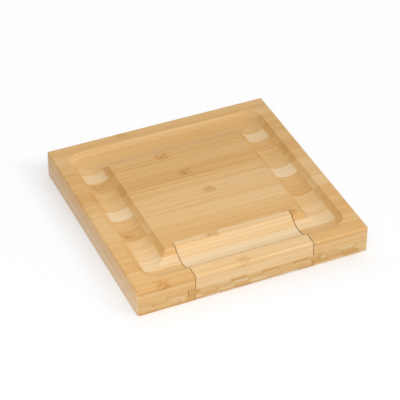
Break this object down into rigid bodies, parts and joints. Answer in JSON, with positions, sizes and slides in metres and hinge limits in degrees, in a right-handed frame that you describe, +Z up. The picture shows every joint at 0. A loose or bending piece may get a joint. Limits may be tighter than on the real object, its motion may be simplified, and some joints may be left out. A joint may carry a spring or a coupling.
{
  "type": "cheese board with drawer",
  "caption": "Square laminated bamboo cheese board: a round-bottomed groove rings the raised middle, and a front drawer slides out on side tongues to bring out its cheese tools.",
  "frame": {"origin": "centre of the board's footprint, on the surface it stands on", "axes": "+Z up; the drawer front faces -Y; +X to the right as seen from the front"},
  "size_m": [0.33, 0.33, 0.04],
  "materials": {
    "bamboo_top": "sanded and oiled",
    "bamboo_rail": "sanded and oiled",
    "bamboo_tray": "sanded and oiled",
    "bamboo_handle": "sanded and oiled",
    "steel": "satin"
  },
  "bodies": {
    "board": {"top_board": "bamboo_top", "left_guide_rail": "bamboo_rail", "right_guide_rail": "bamboo_rail", "rear_guide_block": "bamboo_rail", "left_base_rail": "bamboo_rail", "right_base_rail": "bamboo_rail", "rear_base_panel": "bamboo_rail"},
    "drawer": {"drawer_front": "bamboo_top", "drawer_tray": "bamboo_tray", "drawer_base": "bamboo_tray", "cleaver_handle": "bamboo_handle", "cleaver_ferrule": "steel", "cleaver_blade": "steel", "fork_handle": "bamboo_handle", "fork_ferrule": "steel", "fork_blade": "steel", "spreader_handle": "bamboo_handle", "spreader_ferrule": "steel", "spreader_blade": "steel", "leaf_knife_handle": "bamboo_handle", "leaf_knife_ferrule": "steel", "leaf_knife_blade": "steel"}
  },
  "joints": [
    {"name": "drawer_slide", "type": "slide", "parent": "board", "child": "drawer", "axis": [0, -1, 0], "range_m": [0, 0.14]}
  ]
}
